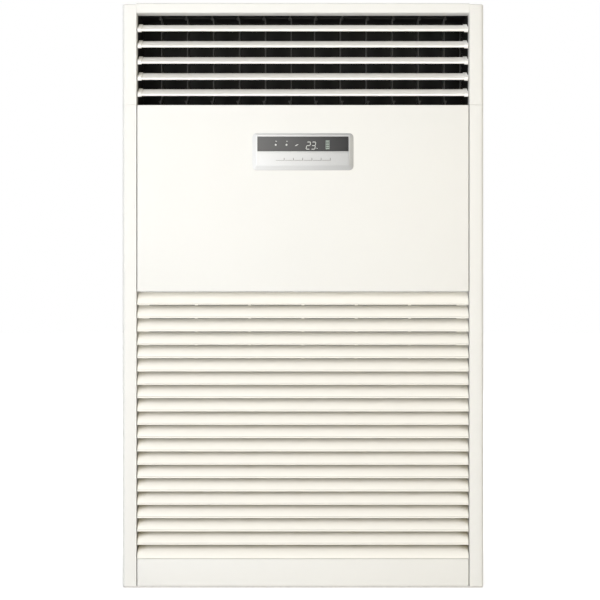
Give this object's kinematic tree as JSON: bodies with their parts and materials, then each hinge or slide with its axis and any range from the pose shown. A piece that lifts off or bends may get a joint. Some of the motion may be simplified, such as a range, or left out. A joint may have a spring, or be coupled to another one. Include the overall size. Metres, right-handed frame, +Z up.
{
  "type": "floor standing air conditioner",
  "caption": "Tall floor standing air conditioner cabinet with a louvred intake below, a control panel, and an outlet of tilting blades and turning vanes above.",
  "frame": {"origin": "on the floor under the middle of the cabinet", "axes": "+Z up along the cabinet's height, +X to the right seen from the front, the face looks towards -Y"},
  "size_m": [1.1, 0.485, 1.78],
  "materials": {
    "cabinet_white": "satin warm white enamel",
    "moulded_white": "satin moulded warm white plastic",
    "galvanised_steel": "galvanised sheet",
    "filter_dark": "dark filter mesh in a moulded frame",
    "duct_black": "matt black lining",
    "vane_black": "satin black plastic",
    "bezel_silver": "silver painted plastic",
    "display_dark": "dark glossy window"
  },
  "bodies": {
    "cabinet": {"base_pan": "galvanised_steel", "left_side_panel": "cabinet_white", "right_side_panel": "cabinet_white", "back_panel_lower": "cabinet_white", "back_panel_upper": "cabinet_white", "top_panel": "cabinet_white", "top_header": "cabinet_white", "left_lower_post": "cabinet_white", "right_lower_post": "cabinet_white", "left_upper_post": "cabinet_white", "right_upper_post": "cabinet_white", "kick_panel": "cabinet_white", "front_panel": "cabinet_white", "seam_rail": "galvanised_steel", "intake_grille": "moulded_white", "air_filter": "filter_dark", "duct_floor": "duct_black", "duct_ceiling": "duct_black", "duct_back": "duct_black", "duct_left_wall": "duct_black", "duct_right_wall": "duct_black", "control_bezel": "bezel_silver", "display_window": "display_dark", "button_strip": "bezel_silver"},
    "blade_1": {"blade_1": "moulded_white"},
    "blade_2": {"blade_2": "moulded_white"},
    "blade_3": {"blade_3": "moulded_white"},
    "blade_4": {"blade_4": "moulded_white"},
    "blade_5": {"blade_5": "moulded_white"},
    "blade_link": {"blade_link": "vane_black"},
    "vane_01": {"vane_01": "vane_black"},
    "vane_02": {"vane_02": "vane_black"},
    "vane_03": {"vane_03": "vane_black"},
    "vane_04": {"vane_04": "vane_black"},
    "vane_05": {"vane_05": "vane_black"},
    "vane_06": {"vane_06": "vane_black"},
    "vane_07": {"vane_07": "vane_black"},
    "vane_08": {"vane_08": "vane_black"},
    "vane_09": {"vane_09": "vane_black"},
    "vane_10": {"vane_10": "vane_black"},
    "vane_11": {"vane_11": "vane_black"},
    "vane_12": {"vane_12": "vane_black"},
    "vane_link": {"vane_link": "duct_black"}
  },
  "joints": [
    {"name": "blade_3_tilt", "type": "hinge", "parent": "cabinet", "child": "blade_3", "pos_m": [0, -0.212, 1.6106], "axis": [1, 0, 0], "range_deg": [-25, 20]},
    {"name": "blade_1_tilt", "type": "hinge", "parent": "cabinet", "child": "blade_1", "pos_m": [0, -0.212, 1.512], "axis": [1, 0, 0], "range_deg": [-25, 20]},
    {"name": "blade_2_tilt", "type": "hinge", "parent": "cabinet", "child": "blade_2", "pos_m": [0, -0.212, 1.5613], "axis": [1, 0, 0], "range_deg": [-25, 20]},
    {"name": "blade_4_tilt", "type": "hinge", "parent": "cabinet", "child": "blade_4", "pos_m": [0, -0.212, 1.6599], "axis": [1, 0, 0], "range_deg": [-25, 20]},
    {"name": "blade_5_tilt", "type": "hinge", "parent": "cabinet", "child": "blade_5", "pos_m": [0, -0.212, 1.7092], "axis": [1, 0, 0], "range_deg": [-25, 20]},
    {"name": "blade_link_pin", "type": "hinge", "parent": "blade_3", "child": "blade_link", "pos_m": [0.485, -0.17911, 1.62257], "axis": [1, 0, 0], "range_deg": [-20, 25]},
    {"name": "vane_07_turn", "type": "hinge", "parent": "cabinet", "child": "vane_07", "pos_m": [0.04, -0.1725, 1.6], "axis": [0, 0, 1], "range_deg": [-35, 35]},
    {"name": "vane_01_turn", "type": "hinge", "parent": "cabinet", "child": "vane_01", "pos_m": [-0.44, -0.1725, 1.6], "axis": [0, 0, 1], "range_deg": [-35, 35]},
    {"name": "vane_02_turn", "type": "hinge", "parent": "cabinet", "child": "vane_02", "pos_m": [-0.36, -0.1725, 1.6], "axis": [0, 0, 1], "range_deg": [-35, 35]},
    {"name": "vane_03_turn", "type": "hinge", "parent": "cabinet", "child": "vane_03", "pos_m": [-0.28, -0.1725, 1.6], "axis": [0, 0, 1], "range_deg": [-35, 35]},
    {"name": "vane_04_turn", "type": "hinge", "parent": "cabinet", "child": "vane_04", "pos_m": [-0.2, -0.1725, 1.6], "axis": [0, 0, 1], "range_deg": [-35, 35]},
    {"name": "vane_05_turn", "type": "hinge", "parent": "cabinet", "child": "vane_05", "pos_m": [-0.12, -0.1725, 1.6], "axis": [0, 0, 1], "range_deg": [-35, 35]},
    {"name": "vane_06_turn", "type": "hinge", "parent": "cabinet", "child": "vane_06", "pos_m": [-0.04, -0.1725, 1.6], "axis": [0, 0, 1], "range_deg": [-35, 35]},
    {"name": "vane_08_turn", "type": "hinge", "parent": "cabinet", "child": "vane_08", "pos_m": [0.12, -0.1725, 1.6], "axis": [0, 0, 1], "range_deg": [-35, 35]},
    {"name": "vane_09_turn", "type": "hinge", "parent": "cabinet", "child": "vane_09", "pos_m": [0.2, -0.1725, 1.6], "axis": [0, 0, 1], "range_deg": [-35, 35]},
    {"name": "vane_10_turn", "type": "hinge", "parent": "cabinet", "child": "vane_10", "pos_m": [0.28, -0.1725, 1.6], "axis": [0, 0, 1], "range_deg": [-35, 35]},
    {"name": "vane_11_turn", "type": "hinge", "parent": "cabinet", "child": "vane_11", "pos_m": [0.36, -0.1725, 1.6], "axis": [0, 0, 1], "range_deg": [-35, 35]},
    {"name": "vane_12_turn", "type": "hinge", "parent": "cabinet", "child": "vane_12", "pos_m": [0.44, -0.1725, 1.6], "axis": [0, 0, 1], "range_deg": [-35, 35]},
    {"name": "vane_link_pin", "type": "hinge", "parent": "vane_07", "child": "vane_link", "pos_m": [0.04, -0.1565, 1.75], "axis": [0, 0, 1], "range_deg": [-35, 35]}
  ],
  "couplings": [
    {"joint": "blade_1_tilt", "follows": "blade_3_tilt", "ratio": 1},
    {"joint": "blade_2_tilt", "follows": "blade_3_tilt", "ratio": 1},
    {"joint": "blade_4_tilt", "follows": "blade_3_tilt", "ratio": 1},
    {"joint": "blade_5_tilt", "follows": "blade_3_tilt", "ratio": 1},
    {"joint": "blade_link_pin", "follows": "blade_3_tilt", "ratio": -1},
    {"joint": "vane_01_turn", "follows": "vane_07_turn", "ratio": 1},
    {"joint": "vane_02_turn", "follows": "vane_07_turn", "ratio": 1},
    {"joint": "vane_03_turn", "follows": "vane_07_turn", "ratio": 1},
    {"joint": "vane_04_turn", "follows": "vane_07_turn", "ratio": 1},
    {"joint": "vane_05_turn", "follows": "vane_07_turn", "ratio": 1},
    {"joint": "vane_06_turn", "follows": "vane_07_turn", "ratio": 1},
    {"joint": "vane_08_turn", "follows": "vane_07_turn", "ratio": 1},
    {"joint": "vane_09_turn", "follows": "vane_07_turn", "ratio": 1},
    {"joint": "vane_10_turn", "follows": "vane_07_turn", "ratio": 1},
    {"joint": "vane_11_turn", "follows": "vane_07_turn", "ratio": 1},
    {"joint": "vane_12_turn", "follows": "vane_07_turn", "ratio": 1},
    {"joint": "vane_link_pin", "follows": "vane_07_turn", "ratio": -1}
  ]
}
